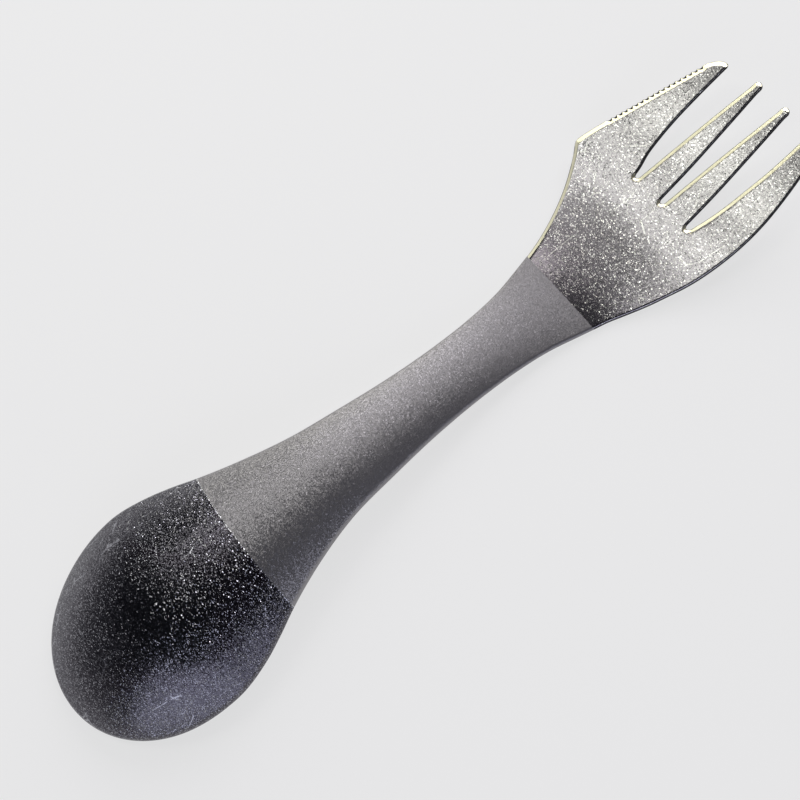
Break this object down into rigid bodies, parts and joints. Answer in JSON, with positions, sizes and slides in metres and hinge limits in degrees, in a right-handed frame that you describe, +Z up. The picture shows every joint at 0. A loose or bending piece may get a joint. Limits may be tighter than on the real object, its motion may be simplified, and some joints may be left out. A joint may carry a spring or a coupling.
{
  "type": "spork",
  "caption": "Double-ended metal eating tool: oval spoon bowl, waisted handle and tined fork with a serrated cutting edge, pressed from one sheet.",
  "frame": {"origin": "centre of the footprint, on the table that the spork rests on with the dome of the bowl up", "axes": "+X from the spoon bowl to the fork's tips, +Z up out of the table, +Y towards the side with the serrated edge"},
  "size_m": [0.17, 0.0418, 0.014],
  "materials": {
    "polished_titanium": "tumble-polished, finely pitted",
    "blasted_titanium": "media-blasted, matte"
  },
  "bodies": {
    "root": {"spoon_bowl": "polished_titanium", "handle": "blasted_titanium", "fork_palm": "polished_titanium", "serrated_outer_tine": "polished_titanium", "left_inner_tine": "polished_titanium", "right_inner_tine": "polished_titanium", "plain_outer_tine": "polished_titanium"}
  },
  "joints": []
}
